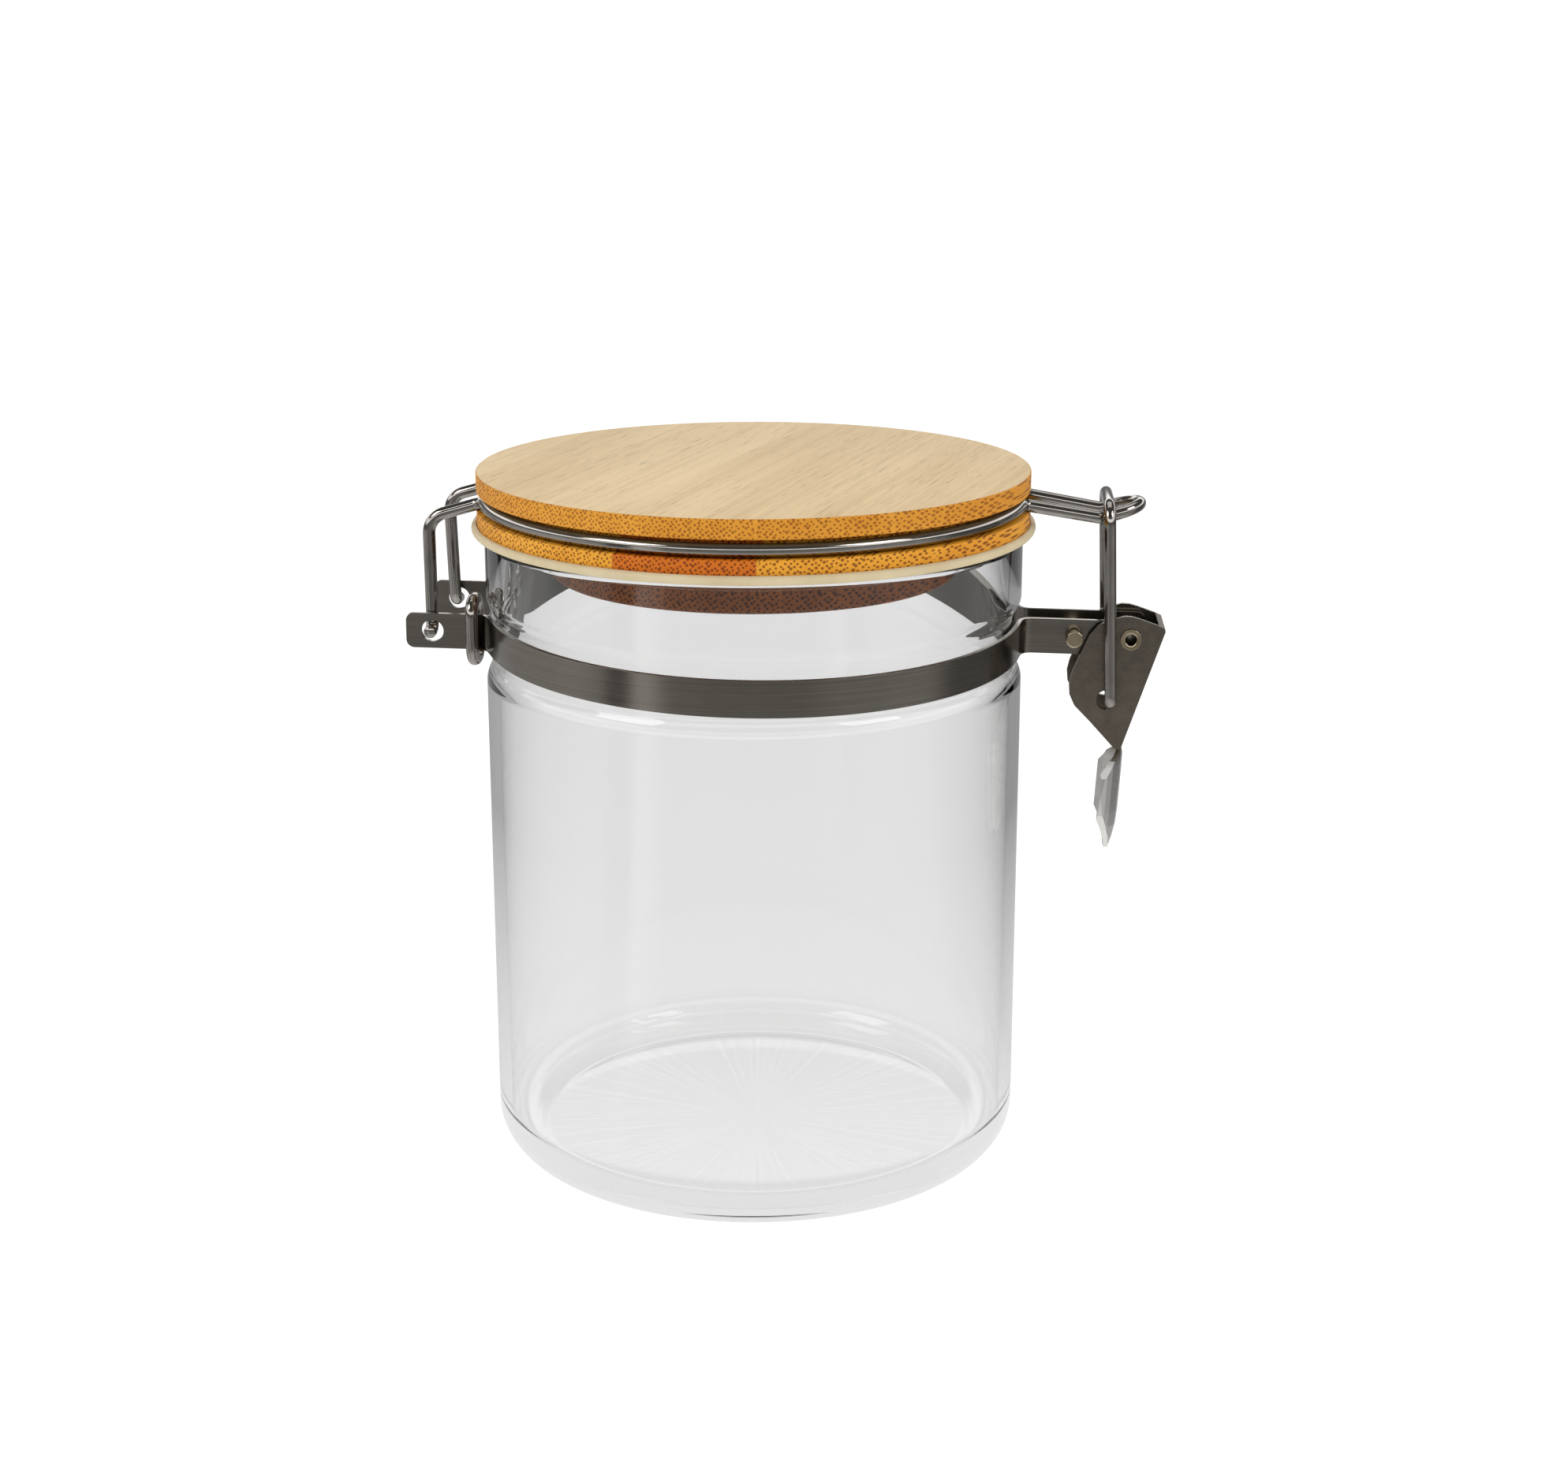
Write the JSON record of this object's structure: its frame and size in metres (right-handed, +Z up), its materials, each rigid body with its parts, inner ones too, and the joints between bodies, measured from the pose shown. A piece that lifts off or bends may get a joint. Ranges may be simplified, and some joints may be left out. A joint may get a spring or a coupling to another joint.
{
  "type": "clip-top food canister",
  "caption": "Cylindrical glass storage jar with a bamboo lid, silicone gasket and a hinged wire bail held by an over-centre lever latch.",
  "frame": {"origin": "centre of the jar's underside, on the surface it stands on", "axes": "+Z up through the lid, +X to the latch, -X to the hinge"},
  "size_m": [0.1393, 0.1042, 0.1317],
  "materials": {
    "glass": "clear, polished, faint grey tint",
    "bamboo_top": "pale sanded bamboo, fine parallel grain",
    "bamboo_flange": "golden bamboo end grain, satin",
    "bamboo_plug": "darker bamboo end grain, satin",
    "silicone": "matte cream silicone",
    "band_steel": "satin dark steel strip",
    "lever_steel": "satin dark pressed steel",
    "rivet_steel": "bright rivets, slightly warm",
    "wire_steel": "polished drawn steel wire"
  },
  "bodies": {
    "jar": {"glass_jar": "glass", "neck_band_front": "band_steel", "neck_band_rear": "band_steel", "band_rivet": "rivet_steel", "lever_pivot": "rivet_steel", "keeper_ring_front": "wire_steel", "keeper_ring_rear": "wire_steel"},
    "bail": {"bail_wire": "wire_steel"},
    "lid": {"lid_top_disc": "bamboo_top", "lid_flange": "bamboo_flange", "lid_plug": "bamboo_plug", "gasket": "silicone"},
    "lever": {"latch_lever": "lever_steel"},
    "link": {"link_wire": "wire_steel"}
  },
  "joints": [
    {"name": "lid_hinge", "type": "hinge", "parent": "jar", "child": "bail", "pos_m": [-0.05855, 0, 0.10272], "axis": [0, -1, 0], "range_deg": [0, 195]},
    {"name": "lid_turn", "type": "hinge", "parent": "bail", "child": "lid", "pos_m": [0, 0, 0.12615], "axis": [0, 0, 1], "continuous": true},
    {"name": "lever_hinge", "type": "hinge", "parent": "jar", "child": "lever", "pos_m": [0.06989, 0, 0.10123], "axis": [0, -1, 0], "range_deg": [0, 116]},
    {"name": "link_hinge", "type": "hinge", "parent": "lever", "child": "link", "pos_m": [0.06639, 0, 0.08968], "axis": [0, -1, 0], "range_deg": [-290, 0]}
  ],
  "couplings": [
    {"joint": "link_hinge", "follows": "lever_hinge", "ratio": -2.5}
  ]
}
